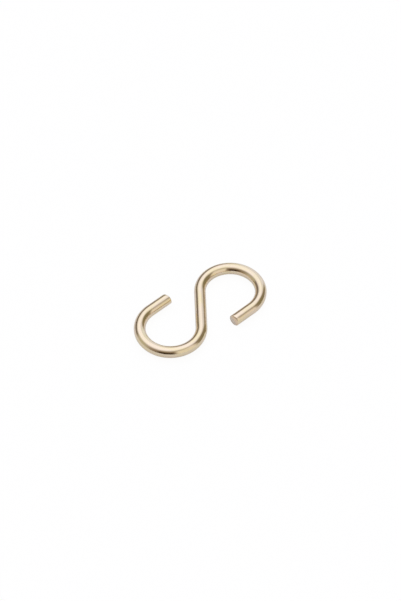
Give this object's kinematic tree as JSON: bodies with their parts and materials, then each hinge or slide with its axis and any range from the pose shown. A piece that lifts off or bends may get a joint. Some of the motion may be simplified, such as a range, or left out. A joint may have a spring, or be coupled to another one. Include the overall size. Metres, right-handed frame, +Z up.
{
  "type": "s hook",
  "caption": "S-shaped hook bent from round brass wire, with a straight slanted spine, an open round loop at each end and square-cut wire ends.",
  "frame": {"origin": "on the surface the hook lies on, under the middle of its spine, which is the centre of its outline", "axes": "+X through the centres of both loops, +Y across the hook in the plane it lies in, +Z up, through the thickness of the wire"},
  "size_m": [0.0384, 0.0194, 0.003],
  "materials": {
    "brass_wire": "polished drawn wire, pale gold"
  },
  "bodies": {
    "root": {"hook": "brass_wire"}
  },
  "joints": []
}
